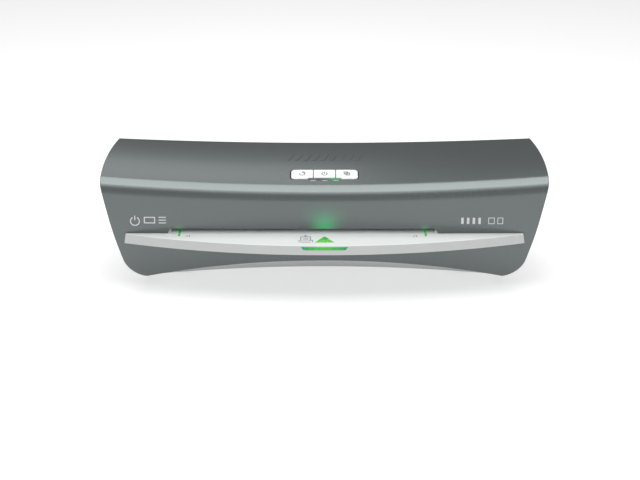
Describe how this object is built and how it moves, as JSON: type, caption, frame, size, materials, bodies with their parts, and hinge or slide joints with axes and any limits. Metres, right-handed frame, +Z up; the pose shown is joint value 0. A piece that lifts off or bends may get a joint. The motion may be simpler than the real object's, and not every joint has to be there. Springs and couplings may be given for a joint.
{
  "type": "pouch laminator",
  "caption": "Desktop pouch laminator with a saddle-shaped grey cover, white crescent feed tray, lit slot, three buttons and a geared four-roller drive.",
  "frame": {"origin": "on the table, below the middle of the machine", "axes": "+X to the right along the machine as its user sees it, +Y to the back, where the pouch comes out, +Z up"},
  "size_m": [0.392, 0.1512, 0.1204],
  "materials": {
    "cover_plastic": "semi-gloss metallic grey paint on ABS, faint green-blue tint",
    "tray_plastic": "satin white ABS",
    "button_plastic": "glossy white ABS with grey printed marks",
    "light_grey_plastic": "fine-grained light grey ABS",
    "dark_plastic": "fine-grained dark grey ABS",
    "panel_plastic": "fine-grained mid grey ABS",
    "green_lens": "clear green acrylic light guide, lit",
    "smoke_lens": "smoked acrylic",
    "rubber": "matte black rubber",
    "zinc_steel": "zinc-plated sheet steel",
    "bright_steel": "ground bright steel",
    "spring_steel": "drawn spring wire",
    "silicone": "moulded heat-resistant silicone rubber, brick red",
    "gear_nylon": "natural moulded nylon",
    "bush_plastic": "heat-resistant black-brown polymer",
    "brass": "turned brass",
    "aluminium": "extruded aluminium",
    "mica": "mica and foil strip heater",
    "ceramic": "glazed ceramic",
    "circuit_board": "green solder mask with fitted components",
    "switch_plastic": "black switch moulding",
    "wire_insulation": "PVC-insulated wire"
  },
  "bodies": {
    "housing": {"top_cover": "cover_plastic", "feed_tray": "tray_plastic", "slot_guide": "tray_plastic", "button_frame": "dark_plastic", "indicator_lens": "smoke_lens", "control_pcb": "circuit_board", "button_switches": "switch_plastic", "indicator_leds": "green_lens", "arrow_lens": "green_lens", "lip_lens": "green_lens", "edge_lenses": "green_lens", "slot_light": "green_lens", "base": "light_grey_plastic", "rear_cover": "light_grey_plastic", "side_panel_left": "panel_plastic", "side_panel_right": "panel_plastic", "exit_guide": "dark_plastic", "rubber_feet": "rubber", "housing_screws": "zinc_steel", "cord_gland": "rubber", "frame_plate_left": "zinc_steel", "frame_plate_right": "zinc_steel", "tie_rods": "bright_steel", "frame_screws": "zinc_steel", "lower_bushes": "bush_plastic", "front_pressure_springs": "spring_steel", "rear_pressure_springs": "spring_steel", "idler_stud": "bright_steel", "gear_motor": "zinc_steel", "motor_bracket": "zinc_steel", "motor_standoffs": "brass", "upper_heating_plate": "aluminium", "lower_heating_plate": "aluminium", "heating_elements": "mica", "heat_shields": "zinc_steel", "thermal_cutouts": "ceramic", "temperature_sensor": "switch_plastic", "main_pcb": "circuit_board", "wiring_harness": "wire_insulation"},
    "front_lower_roller": {"front_lower_shaft": "bright_steel", "front_lower_sleeve": "silicone", "front_lower_gear": "gear_nylon"},
    "front_upper_roller": {"front_upper_shaft": "bright_steel", "front_upper_sleeve": "silicone", "front_upper_gear": "gear_nylon"},
    "rear_lower_roller": {"rear_lower_shaft": "bright_steel", "rear_lower_sleeve": "silicone", "rear_lower_gear": "gear_nylon"},
    "rear_upper_roller": {"rear_upper_shaft": "bright_steel", "rear_upper_sleeve": "silicone", "rear_upper_gear": "gear_nylon"},
    "front_carrier": {"front_bearing_blocks": "bush_plastic"},
    "rear_carrier": {"rear_bearing_blocks": "bush_plastic"},
    "idler": {"idler_gear": "gear_nylon"},
    "motor_output": {"motor_shaft": "bright_steel", "drive_pinion": "brass"},
    "power_button": {"power_button": "button_plastic"},
    "reverse_button": {"reverse_button": "button_plastic"},
    "pouch_button": {"pouch_button": "button_plastic"}
  },
  "joints": [
    {"name": "front_lower_spin", "type": "hinge", "parent": "housing", "child": "front_lower_roller", "pos_m": [-0.019, -0.01025, 0.04645], "axis": [1, 0, 0], "continuous": true},
    {"name": "front_nip_lift", "type": "slide", "parent": "housing", "child": "front_carrier", "axis": [0, 0, 1], "range_m": [0, 0.0012], "stiffness_N_per_m": 4000, "springref_m": -0.003, "deforming": ["front_pressure_springs"]},
    {"name": "front_upper_spin", "type": "hinge", "parent": "front_carrier", "child": "front_upper_roller", "pos_m": [-0.019, -0.01025, 0.06895], "axis": [1, 0, 0], "continuous": true},
    {"name": "rear_lower_spin", "type": "hinge", "parent": "housing", "child": "rear_lower_roller", "pos_m": [-0.019, 0.04225, 0.04645], "axis": [1, 0, 0], "continuous": true},
    {"name": "rear_nip_lift", "type": "slide", "parent": "housing", "child": "rear_carrier", "axis": [0, 0, 1], "range_m": [0, 0.0012], "stiffness_N_per_m": 4000, "springref_m": -0.003, "deforming": ["rear_pressure_springs"]},
    {"name": "rear_upper_spin", "type": "hinge", "parent": "rear_carrier", "child": "rear_upper_roller", "pos_m": [-0.019, 0.04225, 0.06895], "axis": [1, 0, 0], "continuous": true},
    {"name": "idler_spin", "type": "hinge", "parent": "housing", "child": "idler", "pos_m": [-0.019, 0.016, 0.04645], "axis": [1, 0, 0], "continuous": true},
    {"name": "motor_spin", "type": "hinge", "parent": "housing", "child": "motor_output", "pos_m": [-0.019, 0.016, 0.02395], "axis": [1, 0, 0], "continuous": true},
    {"name": "power_press", "type": "slide", "parent": "housing", "child": "power_button", "axis": [0, -0.2756, 0.9613], "range_m": [-0.0008, 0], "stiffness_N_per_m": 600, "springref_m": 0.001},
    {"name": "reverse_press", "type": "slide", "parent": "housing", "child": "reverse_button", "axis": [0, -0.2756, 0.9613], "range_m": [-0.0008, 0], "stiffness_N_per_m": 600, "springref_m": 0.001},
    {"name": "pouch_press", "type": "slide", "parent": "housing", "child": "pouch_button", "axis": [0, -0.2756, 0.9613], "range_m": [-0.0008, 0], "stiffness_N_per_m": 600, "springref_m": 0.001}
  ],
  "couplings": [
    {"joint": "front_upper_spin", "follows": "front_lower_spin", "ratio": -1},
    {"joint": "rear_lower_spin", "follows": "front_lower_spin", "ratio": 1},
    {"joint": "rear_upper_spin", "follows": "front_lower_spin", "ratio": -1},
    {"joint": "idler_spin", "follows": "front_lower_spin", "ratio": -0.75},
    {"joint": "motor_spin", "follows": "front_lower_spin", "ratio": 1.5}
  ]
}
